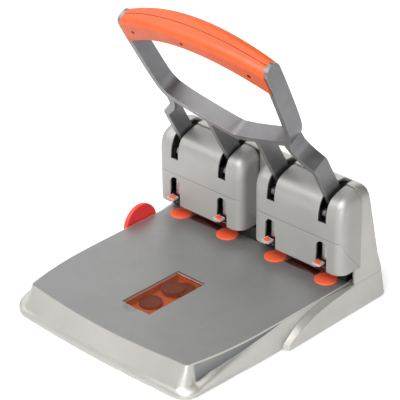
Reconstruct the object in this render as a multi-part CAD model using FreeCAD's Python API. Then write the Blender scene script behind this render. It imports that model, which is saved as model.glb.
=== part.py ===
import FreeCAD, Part
import math
import os

V = FreeCAD.Vector

# ---------------------------------------------------------------------------
# Driving sizes, millimetres.  X runs along the line of holes, -Y is the side
# the paper comes in from, Z is up and 0 is the desk.
# ---------------------------------------------------------------------------
HOLE_PITCH = 80.0
HOLE_X = (-1.5 * HOLE_PITCH, -0.5 * HOLE_PITCH, 0.5 * HOLE_PITCH, 1.5 * HOLE_PITCH)
HOLE_EDGE = 12.0            # hole centre to paper edge
MOD_END = 31.0              # a module's outer wall stands this far past its outer hole
MOD_OUT = HOLE_X[3] + MOD_END
THROAT = 17.6               # stack height taken between table and punch modules

FOOT_DROP = 2.0             # feet stand this far below the shells
TABLE_Z = 36.0              # top face of the table
PLATE_T = 3.0
TABLE_FRONT_Y = -254.5
TABLE_CORNER_DY = 8.5       # how much the front edge sweeps back at its ends
TABLE_STEP = 7.5            # table's side stands this far inside the modules' outer walls
TABLE_HALF = MOD_OUT - TABLE_STEP
FRONT_TAPER = 13.0          # table narrows by this much on each side at its front corners
TABLE_FRONT_HALF = TABLE_HALF - FRONT_TAPER
SKIRT_FLARE = 5.0           # side skirts stand out this much further at the bottom
FRONT_LEAN = 12.6           # front skirt stands out this much further at the bottom
CORNER_LEAN = 0.3           # and by this share more at its ends
LEAN_FADE = 9.7             # lean dies out over this length round the front corners
SHELL_T = 2.5
RIM_T = 1.2
LIP_FRONT_Z = 12.0          # height of the crease along the front
LIP_REACH = 13.0            # lip stands out this far at the front
LIP_EDGE_Z = 7.0            # height of the lip's shoulder along the front
LIP_SIDE = 5.6              # lip stands out this far at the front right corner
LIP_LEFT = 6.4              # and at the front left corner
LIP_LEFT_RISE = 6.0         # crease and lip edge stand higher on the left side
LIP_FULLNESS = 1.6          # 0 is a flat lip, larger values are squarer at its shoulder
LIP_END_Y = -106.0          # the lip runs out here along the sides
CREASE_END_Z = 34.4

REAR_HALF = MOD_OUT
REAR_FLARE = 6.0
REAR_BACK_Y = 75.0
REAR_T = 3.0
SEAM_Y = 25.7               # covers meet the rear body here
REAR_TOP = 120.0            # above the table
FIN_INSET = 9.5             # fins are this thick at the top
FIN_END_Y = 22.0            # and run this far back

MOD_IN = 9.5
MOD_FRONT_Y = -10.0
MOD_TOP = 118.0             # above the table
MOD_R = 14.0
COVER_T = 2.5
SLOT_W = 12.0
SLOT_BOTTOM = 80.5          # above the table
SLOT_REAR_Y = 38.5
ARCH_W = 16.3
ARCH_TOP = 55.0             # above the table
SEAM_Z = 60.0               # upper and lower cover meet here, above the table

HINGE_Y = 35.0
HINGE_H = 78.0              # above the table
SHAFT_D = 10.0
BUSH_D = 14.0
RUN_CLEAR = 0.05            # radial running clearance
LEVER_TRAVEL = 33.0         # degrees
CRANK_R = 36.5
CRANK_UP = 17.0             # degrees above level at rest
CRANK_PIN_D = 4.0

LOOP_LEAN = 28.49           # degrees from upright
LOOP_Y = -47.6              # lower loop corners, front edge
LOOP_H = 194.4              # above the table
BAND_W = 23.0               # band depth, square to the loop plane
BAND_T = 7.8                # band thickness at its middle
BAND_LOW = -43.3            # lowest point of the band, where its halves meet in a crease
ARM_TOP = 119.5             # arm ends, up the loop from its lower corners
LEG_T = 6.0
LEG_SHIFT = 1.2             # legs sit this far inboard of the hole line
GRIP_SCREWS = (-90.0, 0.0, 90.0)
GRIP_HALF = 112.0           # grip shells end here, lapping over the arms' edges
GRIP_LAP = 12.6             # half depth of the grip at its ends
GRIP_FULL = 17.4            # and at its middle
CORE_HALF = 109.0           # bar inside the grip
CORE_COVER = 9.0            # grip plastic above and below the bar
CORE_MAX = 22.0

PUNCH_D = 6.0
PUNCH_BORE = 4.4
SLEEVE_D = 12.0
SLEEVE_BOTTOM = 19.0        # above the table
SLEEVE_TOP = 53.0
GUIDE_BAR_Y = -7.2          # front of the bars that hold the sleeves
CHEEK_OFF = 14.0            # frame cheeks stand this far outside a module's two holes
CHEEK_T = 4.0
FRAME_SCREW_OFF = 27.0      # frame screws, either side of the middle cheek
FRAME_SCREW_Y = 27.0
SPRING_SEAT = 30.0
SPRING_D = 8.0
SPRING_WIRE = 1.2
SPRING_TURNS = 9
HEAD_DROP = 8.0             # crank pin to the bridge of the punch head
TIP_END = 1.5               # punch tip above the table at full stroke

DISC_D = 28.0
DISC_PROUD = 1.2
DISC_T = 4.8
DISC_BOSS_D = 8.0
DISC_GAP = 0.3
ARM_Z = 28.3                # inner frames carry the anvils and backstop here
STOP_T = 2.0                # backstop thickness
STRIP_PAST = 8.0            # coloured backstop strips run this far past the holes

WINDOW_W = 44.5
WINDOW_L = 93.0
WINDOW_Y = -151.1
LID_T = 2.0
LID_PIN_D = 1.6
PIN_SEAT = 3.0              # lid pin runs this far into the table plate
SCOOP_D = 20.0
SPARE_FLOOR = 24.0          # inside floor of the accessory tray
SPARE_SIDE = 15.25          # spare discs' centres from the tray's sides

GUIDE_R = 27.0
GUIDE_Y = -45.0
GUIDE_Z = 29.5
GUIDE_T = 6.0
GUIDE_STAND = 2.0           # disc's inner face stands this far outside the table
GUIDE_X = -TABLE_HALF - GUIDE_STAND
GUIDE_GAP = 0.6
BAR_W = 16.0                # slide bar of the side guide
BAR_T = 4.0
BAR_Z = 16.5
BAR_CLEAR = 0.5
BAR_GRIP = 4.0              # bar sits this deep in the disc
BAR_END = -62.0

DRAWER_HALF = 128.0
DRAWER_Y0 = 43.5
DRAWER_TOP = 37.0

TRAY_T = 2.0
TRAY_CLEAR = 0.5            # base tray to the shells round it
TRAY_SETBACK = 1.6          # and further back than that behind the front lip
TRAY_HALF = REAR_HALF - 5.0
FOOT_X = TABLE_HALF - 31.5
FOOT_Y = (-205.0, 52.0)
BASE_SCREW_X = TABLE_HALF - 38.5
BASE_SCREW_Y = (-225.0, -120.0)

STROKE = CRANK_R * (math.sin(math.radians(CRANK_UP))
                    + math.sin(math.radians(LEVER_TRAVEL - CRANK_UP)))
TIP_REST = TIP_END + STROKE
CHEEK_X = (HOLE_X[2] - CHEEK_OFF, 0.5 * (HOLE_X[2] + HOLE_X[3]), HOLE_X[3] + CHEEK_OFF)
FRAME_SCREW_X = (CHEEK_X[1] - FRAME_SCREW_OFF, CHEEK_X[1] + FRAME_SCREW_OFF)
STOP_HALF = TABLE_HALF - SHELL_T - 1.0
NOSE_Y = HINGE_Y - CRANK_R * math.cos(math.radians(CRANK_UP))
NOSE_H = HINGE_H + CRANK_R * math.sin(math.radians(CRANK_UP))
ORIGIN_Y = -0.5 * (TABLE_FRONT_Y - LIP_REACH + REAR_BACK_Y)     # centres the saved parts


# ---------------------------------------------------------------------------
# Small builders
# ---------------------------------------------------------------------------
def box(x0, x1, y0, y1, z0, z1):
    return Part.makeBox(x1 - x0, y1 - y0, z1 - z0, V(x0, y0, z0))


def cyl(x, y, z0, z1, d):
    return Part.makeCylinder(d / 2.0, z1 - z0, V(x, y, z0), V(0, 0, 1))


def xcyl(x0, x1, y, z, d):
    return Part.makeCylinder(d / 2.0, x1 - x0, V(x0, y, z), V(1, 0, 0))


def ycyl(x, y0, y1, z, d):
    return Part.makeCylinder(d / 2.0, y1 - y0, V(x, y0, z), V(0, 1, 0))


def poly_yz(pts, x0, x1):
    wire = Part.makePolygon([V(x0, y, z) for y, z in pts + pts[:1]])
    return Part.Face(wire).extrude(V(x1 - x0, 0, 0))


def poly_xy(pts, z0, z1):
    wire = Part.makePolygon([V(x, y, z0) for x, y in pts + pts[:1]])
    return Part.Face(wire).extrude(V(0, 0, z1 - z0))


def curve(pts):
    line = Part.BSplineCurve()
    line.interpolate([V(*p) for p in pts])
    return line.toShape()


def fuse(shapes):
    out = shapes[0].multiFuse(shapes[1:]) if len(shapes) > 1 else shapes[0]
    return out.removeSplitter()


def cut(shape, tools):
    return shape.cut(tools)


def save(name, shape):
    shape = shape.copy()
    shape.translate(V(0, ORIGIN_Y, 0))
    solids = shape.Solids
    if len(solids) == 1:
        shape = solids[0]
    else:
        shape = Part.makeCompound(solids)
    shape.exportStep("parts/" + name + ".step")
    box_ = shape.BoundBox
    print(name, len(solids), "valid", shape.isValid(),
          "x %.1f %.1f y %.1f %.1f z %.1f %.1f" % (
              box_.XMin, box_.XMax, box_.YMin, box_.YMax, box_.ZMin, box_.ZMax))


def round_edges(shape, radius, pick):
    edges = [e for e in shape.Edges if pick(e)]
    return shape.makeFillet(radius, edges)


# ---------------------------------------------------------------------------
# Table
# ---------------------------------------------------------------------------
def side_points(inset):
    half = TABLE_HALF - inset
    front = TABLE_FRONT_HALF - inset
    return [(front, TABLE_FRONT_Y + 17.0), (half - 8.2, -216.0), (half - 4.2, -190.0),
            (half - 0.9, -150.0), (half, -100.0), (half + 0.5, -50.0)]


def height_from(rows, y):
    """Straight-line reading of a list of (y, z)."""
    if y <= rows[0][0]:
        return rows[0][1]
    for (y0, z0), (y1, z1) in zip(rows, rows[1:]):
        if y <= y1:
            return z0 + (z1 - z0) * (y - y0) / (y1 - y0)
    return rows[-1][1]


def crease_height(x, y):
    """Where the lip leaves the skirt; it starts higher along the left side."""
    f = TABLE_FRONT_Y
    z = height_from([(f + 8.6, LIP_FRONT_Z), (f + 17.0, 13.2), (f + 38.5, 19.2),
                     (f + 64.5, 23.4), (f + 104.5, 29.6), (f + 148.5, CREASE_END_Z)], y)
    if x < 0.0:
        z += height_from([(f + 8.6, 0.0), (f + 17.0, LIP_LEFT_RISE)], y)
    return min(z, CREASE_END_Z)


def outline_wire(front, mid_r, right, left, mid_l):
    """Closed outline from its front edge, two corner arcs and two sides, all
    points running towards the rear."""
    return Part.Wire([curve(front), Part.Arc(front[-1], mid_r, right[0]).toShape(), curve(right),
                      Part.makeLine(right[-1], left[-1]), curve(list(reversed(left))),
                      Part.Arc(left[0], mid_l, front[0]).toShape()])


def front_share(x, y, wide, inset):
    """How much of the front skirt's lean a point takes."""
    ends = TABLE_FRONT_Y + inset + TABLE_CORNER_DY
    fade = min(1.0, max(0.0, (ends + LEAN_FADE - y) / LEAN_FADE))
    return fade * (1.0 + CORNER_LEAN * min(1.0, abs(x) / wide) ** 2)


def table_points(level, inset, rear_y, flare=0.0, tilt=False, lean=FRONT_LEAN):
    """Outline of the table; tilt lifts it on to the sloping plane of the lip
    crease."""
    fy = TABLE_FRONT_Y + inset
    ends = fy + TABLE_CORNER_DY
    right = [p for p in side_points(inset) if p[1] < rear_y - 5.0]
    right.append((right[-1][0] + (0.0 if rear_y < -60 else 0.7), rear_y))
    wide = right[0][0] - 9.5

    def lift(x, y):
        z = level
        shift = 0.0
        depth = 0.0
        if tilt:
            z = crease_height(x, y) + level
            depth = (TABLE_Z - z) / (TABLE_Z - FOOT_DROP)
            shift = flare * depth
        elif level < TABLE_Z - PLATE_T - 0.5:
            depth = (TABLE_Z - z) / (TABLE_Z - FOOT_DROP)
            shift = flare
        if abs(x) < 0.9 * wide:
            shift = 0.0
        ahead = lean * depth * front_share(x, y, wide, inset)
        return V(x + math.copysign(shift, x), y - ahead, z)
    front = [(-wide, ends), (-0.5 * wide, fy + 0.28 * TABLE_CORNER_DY), (0.0, fy),
             (0.5 * wide, fy + 0.28 * TABLE_CORNER_DY), (wide, ends)]
    mid_x = wide + 7.2
    mid_y = 0.5 * (ends + right[0][1]) - 1.9
    return ([lift(*p) for p in front], lift(mid_x, mid_y), [lift(*p) for p in right],
            [lift(-x, y) for x, y in right], lift(-mid_x, mid_y))


def table_wire(level, inset, rear_y, flare=0.0, tilt=False, lean=FRONT_LEAN):
    return outline_wire(*table_points(level, inset, rear_y, flare, tilt, lean))


def table_block(z0, z1, inset, rear_y, flare):
    low = table_wire(z0, inset, rear_y, flare)
    high = table_wire(z1, inset, rear_y, 0.0)
    return Part.makeLoft([low, high], True, True)


def foot_points(level, inset):
    """Foot line of the flared lip."""
    fy = TABLE_FRONT_Y - LIP_REACH + inset
    half = TABLE_HALF + 2.2 - inset
    wide = half - 23.5
    front = [V(-wide, fy + 4.0, level), V(-0.5 * wide, fy + 1.2, level), V(0.0, fy, level),
             V(0.5 * wide, fy + 1.2, level), V(wide, fy + 4.0, level)]
    side = [(half - 2.6, fy + 28.0), (half - 1.3, -217.0), (half - 0.1, -177.0),
            (half, -140.0), (half, LIP_END_Y)]
    return (front, V(half - 7.6, fy + 11.0, level), [V(x, y, level) for x, y in side],
            [V(-x, y, level) for x, y in side], V(-half + 7.6, fy + 11.0, level))


def shoulder_points(drop, inset):
    """Shoulder that the lip swells towards, climbing along the sides."""
    floor = FOOT_DROP - 0.2
    fy = TABLE_FRONT_Y - LIP_REACH + inset + 0.2
    half = TABLE_HALF - inset
    wide = half - 21.0
    e = max(LIP_EDGE_Z - drop, floor)
    front = [V(-wide, fy + 5.2, e + 0.2), V(-0.5 * wide, fy + 2.4, e), V(0.0, fy + 1.2, e),
             V(0.5 * wide, fy + 2.4, e), V(wide, fy + 5.2, e + 0.2)]
    mid_r = V(half - 3.4, fy + 10.6, max(7.4 - drop, floor + 0.4))
    mid_l = V(-half - 3.0, fy + 15.8, 12.0 - drop)
    right = [V(half + LIP_SIDE - 1.4, fy + 27.0, 11.4 - drop),
             V(half + LIP_SIDE - 0.4, -222.0, 16.2 - drop),
             V(half + 4.2, -186.0, 21.4 - drop), V(half + 3.0, -146.0, 27.0 - drop),
             V(half + 2.4, LIP_END_Y, 31.4 - drop)]
    left = [V(-half - LIP_LEFT, fy + 26.3, 16.4 - drop),
            V(-half - LIP_LEFT, -222.0, 22.2 - drop),
            V(-half - 5.0, -186.0, 27.0 - drop), V(-half - 3.4, -146.0, 30.0 - drop),
            V(-half - 2.4, LIP_END_Y, 31.4 - drop)]
    return front, mid_r, right, left, mid_l


def swell(foot, shoulder, crease, t):
    """Ring at t of the way up the lip, drawn towards its shoulder."""
    a = (1.0 - t) ** 2
    b = 2.0 * LIP_FULLNESS * t * (1.0 - t)
    c = t * t

    def at(p, q, r):
        return (p * a + q * b + r * c) * (1.0 / (a + b + c))
    out = []
    for p, q, r in zip(foot, shoulder, crease):
        out.append([at(*row) for row in zip(p, q, r)] if isinstance(p, list) else at(p, q, r))
    return out


def lip_block(drop, inset):
    foot = foot_points(FOOT_DROP - (0.5 if inset else 0.0), inset)
    shoulder = shoulder_points(drop, inset)
    crease = table_points(-drop, inset + 0.15, LIP_END_Y, SKIRT_FLARE, True)
    rings = [outline_wire(*foot)]
    rings += [outline_wire(*swell(foot, shoulder, crease, t)) for t in (0.2, 0.4, 0.6, 0.8)]
    rings.append(outline_wire(*crease))
    rings.append(table_wire(TABLE_Z - 0.6 - drop, inset + 1.0, LIP_END_Y))
    return Part.makeLoft(rings, True, True)


def table_shell():
    rear = HOLE_EDGE + 2.6
    skirt = table_block(FOOT_DROP, TABLE_Z, 0.0, rear, SKIRT_FLARE)
    lip = lip_block(0.0, 0.0)
    shell = skirt.fuse(lip)
    hollow = table_block(FOOT_DROP - 1.0, TABLE_Z - PLATE_T, SHELL_T, rear + 5.0, SKIRT_FLARE)
    inner_lip = lip_block(3.0, SHELL_T)
    seat = Part.Face(table_wire(TABLE_Z - PLATE_T - 0.1, RIM_T, rear + 5.0)).extrude(V(0, 0, 8))
    shell = cut(shell, [hollow, inner_lip, seat])
    wall = GUIDE_X + GUIDE_GAP
    reach = GUIDE_R + 3.0
    pad = box(wall, wall + SHELL_T, GUIDE_Y - reach, GUIDE_Y + reach, FOOT_DROP,
              TABLE_Z - PLATE_T).common(skirt)
    recess = xcyl(wall - 20.0, wall, GUIDE_Y, GUIDE_Z, 2 * (GUIDE_R + GUIDE_GAP))
    half = BAR_W / 2 + BAR_CLEAR
    slot = box(wall - 20.0, wall + 20.0, GUIDE_Y - half, GUIDE_Y + half,
               BAR_Z - BAR_CLEAR, BAR_Z + BAR_T + BAR_CLEAR)
    return cut(shell.fuse(pad), [recess, slot])


def window_box(grow, z0, z1):
    return box(-WINDOW_W / 2 - grow, WINDOW_W / 2 + grow,
               WINDOW_Y - WINDOW_L / 2 - grow, WINDOW_Y + WINDOW_L / 2 + grow, z0, z1)


def table_plate():
    top = TABLE_Z
    wire = table_wire(top - PLATE_T, RIM_T + 0.1, HOLE_EDGE - 0.2)
    plate = Part.Face(wire).extrude(V(0, 0, PLATE_T))
    cuts = [cyl(x, 0, top - 5, top + 2, DISC_D + 2 * DISC_GAP) for x in HOLE_X]
    cuts.append(window_box(0.3, top - LID_T - 0.2, top + 2))
    cuts.append(window_box(-2.0, top - 6, top + 2))
    y_hinge = WINDOW_Y + WINDOW_L / 2 - 1.8
    cuts.append(box(-WINDOW_W / 2 - 0.4, WINDOW_W / 2 + 0.4, y_hinge - 2.1, y_hinge + 2.1,
                    top - 6, top + 2))
    cuts.append(xcyl(-WINDOW_W / 2 - PIN_SEAT, WINDOW_W / 2 + PIN_SEAT, y_hinge, top - 1.9,
                     LID_PIN_D))
    cuts.append(cyl(-4.5, WINDOW_Y - WINDOW_L / 2 - 1.5, top - 1.8, top + 2, SCOOP_D))
    return cut(plate, cuts)


# ---------------------------------------------------------------------------
# Rear body
# ---------------------------------------------------------------------------
def rear_ring(z, half, y0, y1, r):
    k = r * (1 - math.sqrt(0.5))
    p = [V(-half, y0, z), V(half, y0, z), V(half, y1 - r, z), V(half - k, y1 - k, z),
         V(half - r, y1, z), V(-half + r, y1, z), V(-half + k, y1 - k, z), V(-half, y1 - r, z)]
    edges = [Part.makeLine(p[0], p[1]), Part.makeLine(p[1], p[2]),
             Part.Arc(p[2], p[3], p[4]).toShape(), Part.makeLine(p[4], p[5]),
             Part.Arc(p[5], p[6], p[7]).toShape(), Part.makeLine(p[7], p[0])]
    return Part.Wire(edges)


def rear_loft(t):
    """Rear housing as a stack of rounded outlines; t is the wall taken off."""
    zt = TABLE_Z
    y0 = HOLE_EDGE + 3.0 - 10.0 * (1 if t else 0)
    low = -TABLE_Z + FOOT_DROP - (1.0 if t else 0.0)
    rows = [(low, REAR_HALF + REAR_FLARE, REAR_BACK_Y, 16),
            (-16.0, REAR_HALF + 3.6, REAR_BACK_Y - 0.8, 16),
            (0.0, REAR_HALF + 1.2, REAR_BACK_Y - 2.0, 15),
            (8.0, REAR_HALF, 71.0, 14), (20.0, REAR_HALF, 66.7, 14),
            (62.0, REAR_HALF, 57.0, 14), (100.0, REAR_HALF - 0.4, 48.6, 13),
            (108.0, REAR_HALF - 1.5, 46.8, 12), (114.0, REAR_HALF - 4.5, 45.0, 11),
            (118.2, REAR_HALF - 9.0, 41.5, 9), (REAR_TOP, REAR_HALF - 15.0, 36.0, 6)]
    rings = []
    for h, half, back, r in rows:
        level = h - (t if h > 100 else 0)
        rings.append(rear_ring(zt + level, half - t, y0, back - t, max(r - t, 3.0)))
    return Part.makeLoft(rings, True, True)


def fin(side, front_y):
    inner = [(-112, -34), (-108.7, -28.6), (-97, -20.5), (-85, -13), (-65, -5), (-50, -2.5),
             (-30, -0.2), (FIN_END_Y, -0.2), (FIN_END_Y, -34)]
    outer = [(-107, -34), (-103.5, -27), (-92, -22), (-80, -17.5), (-58, -10.5), (-40, -7.5),
             (-24, -5.5), (FIN_END_Y, -2.0), (FIN_END_Y, -34)]
    if front_y > -100.0:
        inner = [(front_y, -34), (front_y, -12), (front_y + 3, -5), (front_y + 9, -0.6),
                 (FIN_END_Y, -0.2), (FIN_END_Y, -34)]
        outer = [(front_y + 2, -34), (front_y + 2, -14), (front_y + 5, -9),
                 (front_y + 11, -5.0), (FIN_END_Y, -2.0), (FIN_END_Y, -34)]
    wires = []
    sides = ((REAR_HALF - FIN_INSET, inner, 0.0), (REAR_HALF + 0.6, outer, REAR_FLARE - 0.6))
    for x, pts, foot in sides:
        loop = []
        for y, h in pts + pts[:1]:
            lean = foot * min(1.0, max(0.0, -h / (TABLE_Z - FOOT_DROP)))
            loop.append(V(side * (x + lean), y, TABLE_Z + h))
        wires.append(Part.makePolygon(loop))
    return Part.makeLoft(wires, True, True)


def rear_body():
    zt = TABLE_Z
    outer = rear_loft(0.0)
    inner = rear_loft(REAR_T)
    over = box(-200, 200, -50, SEAM_Y, zt + THROAT - 0.2, zt + 200)
    body = cut(outer, [inner, over])
    body = cut(body, [box(-REAR_HALF + REAR_T, REAR_HALF - REAR_T, -50, SEAM_Y + 0.5,
                          -10, zt + 200)])
    gap_wall = box(-MOD_IN + 0.2, MOD_IN - 0.2, SEAM_Y, SEAM_Y + 2.5, zt + THROAT, zt + 117.5)
    body = body.fuse([gap_wall])
    right = fin(1, -112)
    left = fin(-1, -12.0)
    clear = table_block(FOOT_DROP - 1, TABLE_Z + 1, -0.25, HOLE_EDGE + 2.8, SKIRT_FLARE)
    right = cut(right, [clear])
    left = cut(left, [clear])
    for f in (right, left):
        big = sorted(f.Solids, key=lambda s: -s.Volume)[0]
        body = body.fuse(big)
    cuts = []
    for x in HOLE_X:
        cuts.append(box(x - SLOT_W / 2, x + SLOT_W / 2, 10, SLOT_REAR_Y,
                        zt + SLOT_BOTTOM, zt + 140))
    cuts.append(box(-DRAWER_HALF - 1.0, DRAWER_HALF + 1.0, 60, 90, -5, DRAWER_TOP + 1.0))
    body = cut(body, cuts)
    body = sorted(body.Solids, key=lambda s: -s.Volume)[0]
    return body


# ---------------------------------------------------------------------------
# Module covers
# ---------------------------------------------------------------------------
def module_block(side, t):
    zt = TABLE_Z
    fy = MOD_FRONT_Y + t
    x0 = MOD_IN + t
    x1 = MOD_OUT - t
    bottom = zt + THROAT + t
    rear = SEAM_Y + (3.0 if t else 0.0)
    front = MOD_FRONT_Y
    crown = zt + MOD_TOP
    top = [(fy, crown - 34.0), (fy + 1.4 - 0.1 * t, crown - 21.0),
           (front + 5.5 + 0.9 * t, crown - 11.6 - 0.5 * t),
           (front + 13.2 + 0.6 * t, crown - 5.3 - 0.8 * t),
           (front + 26.5, crown - 1.0 - t), (rear, crown - t)]
    pts = [V(x0, y, z) for y, z in top]
    line = Part.BSplineCurve()
    line.interpolate(Points=pts, InitialTangent=V(0, 0, 1), FinalTangent=V(0, 1, 0.03))
    a = V(x0, fy, bottom)
    b = V(x0, rear, bottom)
    wire = Part.Wire([Part.makeLine(a, pts[0]), line.toShape(), Part.makeLine(pts[-1], b),
                      Part.makeLine(b, a)])
    solid = Part.Face(wire).extrude(V(x1 - x0, 0, 0))

    def pick(e):
        c = e.CenterOfMass
        at_end = abs(c.x - x0) < 0.01 or abs(c.x - x1) < 0.01
        return at_end and c.z > bottom + 1.0 and c.y < rear - 1.0
    solid = round_edges(solid, MOD_R - t, pick)
    if side < 0:
        solid = solid.mirror(V(0, 0, 0), V(1, 0, 0))
    return solid


def arch(x, y0, y1):
    zt = TABLE_Z
    r = ARCH_W / 2
    low = box(x - r, x + r, y0, y1, zt + THROAT - 2, zt + ARCH_TOP - r)
    return low.fuse(ycyl(x, y0, y1, zt + ARCH_TOP - r, ARCH_W))


def lower_zone(grow):
    zt = TABLE_Z
    pts = [(-14, 10 + zt), (-14, zt + SEAM_Z - grow), (-6.5, zt + SEAM_Z - grow),
           (-2.5, zt + SEAM_Z - 9 - grow), (4.0, zt + SEAM_Z - 19 - grow),
           (24.0 - grow, zt + THROAT + 1), (24.0 - grow, 10 + zt)]
    return poly_yz(pts, -160, 160)


def covers(side):
    zt = TABLE_Z
    shell = cut(module_block(side, 0.0), [module_block(side, COVER_T)])
    xs = [x for x in HOLE_X if x * side > 0]
    cuts = []
    for x in xs:
        cuts.append(box(x - SLOT_W / 2, x + SLOT_W / 2, -20, 40, zt + SLOT_BOTTOM, zt + 140))
        cuts.append(arch(x, -20, 9.5))
        cuts.append(box(x - 9, x + 9, MOD_FRONT_Y + COVER_T + 0.1, 9.5,
                        zt + THROAT - 1, zt + THROAT + COVER_T + 1))
    for x in CHEEK_X:
        notch = CHEEK_T / 2 + 0.4
        cuts.append(box(side * x - notch, side * x + notch, 16.4, 40, zt,
                        zt + THROAT + COVER_T + 1))
    shell = cut(shell, cuts)
    upper = cut(shell, [lower_zone(0.0)])
    lower = shell.common(lower_zone(0.15))
    upper = sorted(upper.Solids, key=lambda s: -s.Volume)[0]
    lower = sorted(lower.Solids, key=lambda s: -s.Volume)[0]
    return upper, lower


# ---------------------------------------------------------------------------
# Inner frames, shaft, sleeves, anvils
# ---------------------------------------------------------------------------
def cheek_outline():
    zt = TABLE_Z
    return [(-13.0, 20.0), (-13.0, ARM_Z), (16.8, ARM_Z), (16.8, zt + 20.6),
            (GUIDE_BAR_Y, zt + 20.6), (GUIDE_BAR_Y, zt + 31.0), (6.0, zt + 40.0),
            (24.0, zt + 90.0), (30.0, zt + 94.0), (40.0, zt + 94.0), (44.5, zt + 88.0),
            (41.0, zt + 55.0), (41.0, 6.3), (16.8, 6.3), (12.0, 20.0)]


def punch_frame(side):
    zt = TABLE_Z
    pieces = []
    for x in CHEEK_X:
        pieces.append(poly_yz(cheek_outline(), side * x - CHEEK_T / 2, side * x + CHEEK_T / 2))
    ends = (side * (CHEEK_X[0] - CHEEK_T / 2), side * (CHEEK_X[2] + CHEEK_T / 2))
    lo = min(ends)
    hi = max(ends)
    pieces.append(box(lo, hi, GUIDE_BAR_Y, 10.0, zt + 20.6, zt + 30.0))
    pieces.append(box(lo, hi, 37.5, 41.0, 6.3, zt + 50.0))
    pieces.append(box(lo, hi, 17.5, 41.0, 6.3, 9.3))
    frame = fuse(pieces)
    cuts = [xcyl(lo - 1, hi + 1, HINGE_Y, zt + HINGE_H, SHAFT_D)]
    for x in [h for h in HOLE_X if h * side > 0]:
        cuts.append(cyl(x, 0, zt + 15, zt + 40, SLEEVE_D))
        left = x - 13.2
        cuts.append(box(left, x - 4.0, GUIDE_BAR_Y - 1.0, 6.0, zt + 25.3, zt + 28.7))
    for x in FRAME_SCREW_X:
        cuts.append(cyl(side * x, FRAME_SCREW_Y, 0, 12, 4.4))
    return cut(frame, cuts)


def main_shaft():
    end = CHEEK_X[2] + 5.0
    body = xcyl(-end, end, HINGE_Y, TABLE_Z + HINGE_H, SHAFT_D)
    return body.makeChamfer(0.8, [e for e in body.Edges if e.Curve.TypeId == "Part::GeomCircle"])


def shaft_clips():
    out = []
    for s in (-1, 1):
        a = s * (CHEEK_X[2] + CHEEK_T / 2 + 0.2)
        b = a + s * 1.2
        ring = xcyl(min(a, b), max(a, b), HINGE_Y, TABLE_Z + HINGE_H, SHAFT_D + 6.0)
        out.append(ring.cut(xcyl(min(a, b) - 1, max(a, b) + 1, HINGE_Y, TABLE_Z + HINGE_H,
                                 SHAFT_D)))
    return Part.makeCompound(out)


def sleeve(x):
    zt = TABLE_Z
    body = cyl(x, 0, zt + SLEEVE_BOTTOM, zt + SLEEVE_TOP, SLEEVE_D)
    body = cut(body, [cyl(x, 0, zt, zt + 100, PUNCH_D + 2 * RUN_CLEAR),
                      cyl(x, 0, zt + SPRING_SEAT, zt + 100, SPRING_D + SPRING_WIRE + 0.8)])
    top = [e for e in body.Edges if abs(e.CenterOfMass.z - (zt + SLEEVE_TOP)) < 0.01
           and e.BoundBox.XLength > SLEEVE_D - 0.1]
    return body.makeFillet(0.4, top)


def anvil_plates():
    out = []
    for side in (-1, 1):
        lo = side * CHEEK_X[1] - 0.5 * HOLE_PITCH - 18.0
        bar = box(lo, lo + HOLE_PITCH + 36.0, -12.5, HOLE_EDGE - 0.5, ARM_Z,
                  TABLE_Z + DISC_PROUD - DISC_T - 0.1)
        bar = cut(bar, [cyl(x, 0, 20, 40, DISC_BOSS_D + 2 * RUN_CLEAR)
                        for x in HOLE_X if x * side > 0])
        out.append(bar)
    return Part.makeCompound(out)


def cutting_disc(x):
    top = TABLE_Z + DISC_PROUD
    body = cyl(x, 0, top - DISC_T, top, DISC_D)
    body = body.makeFillet(0.8, [e for e in body.Edges if abs(e.CenterOfMass.z - top) < 0.01
                                 and e.Curve.TypeId == "Part::GeomCircle"])
    dish = cyl(x, 0, top - 0.4, top + 1, DISC_D - 5.0)
    boss = cyl(x, 0, top - DISC_T - 3.4, top - DISC_T + 1, DISC_BOSS_D)
    return body.cut(dish).fuse(boss).removeSplitter()


def stop_rail(x0, x1):
    """Stretch of the wall that the paper is pushed against."""
    rail = box(x0, x1, HOLE_EDGE, HOLE_EDGE + STOP_T, ARM_Z, TABLE_Z + THROAT - 0.6)
    return cut(rail, [cyl(x, 0, ARM_Z - 1.0, TABLE_Z + DISC_PROUD + 0.4, DISC_D + 2 * DISC_GAP)
                      for x in HOLE_X])


def backstop():
    """Coloured strips under the two modules."""
    inner = HOLE_X[2] - STRIP_PAST
    outer = HOLE_X[3] + STRIP_PAST
    return Part.makeCompound([stop_rail(-outer, -inner), stop_rail(inner, outer)])


def throat_liner():
    """Dark stretches of the same wall, between and outside the strips."""
    inner = HOLE_X[2] - STRIP_PAST
    outer = HOLE_X[3] + STRIP_PAST
    return Part.makeCompound([stop_rail(-STOP_HALF, -outer), stop_rail(-inner, inner),
                              stop_rail(outer, STOP_HALF)])


# ---------------------------------------------------------------------------
# Lever
# ---------------------------------------------------------------------------
def to_loop(shape):
    """Local frame (x, up the loop, forward) to the machine."""
    out = shape.copy()
    place = FreeCAD.Placement(V(0, LOOP_Y, TABLE_Z + LOOP_H),
                              FreeCAD.Rotation(V(1, 0, 0), 90.0 + LOOP_LEAN))
    out.Placement = place.multiply(out.Placement)
    return out


def mirror_pts(pts):
    return [(-x, s) for x, s in reversed(pts)]


def slab(outline, w0, w1):
    """outline is a list of edges' point lists, closed, in the loop plane."""
    edges = []
    for pts in outline:
        if len(pts) == 2:
            edges.append(Part.makeLine(V(pts[0][0], pts[0][1], w0), V(pts[1][0], pts[1][1], w0)))
        else:
            edges.append(curve([(x, s, w0) for x, s in pts]))
    return Part.Face(Part.Wire(edges)).extrude(V(0, 0, w1 - w0))


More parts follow.
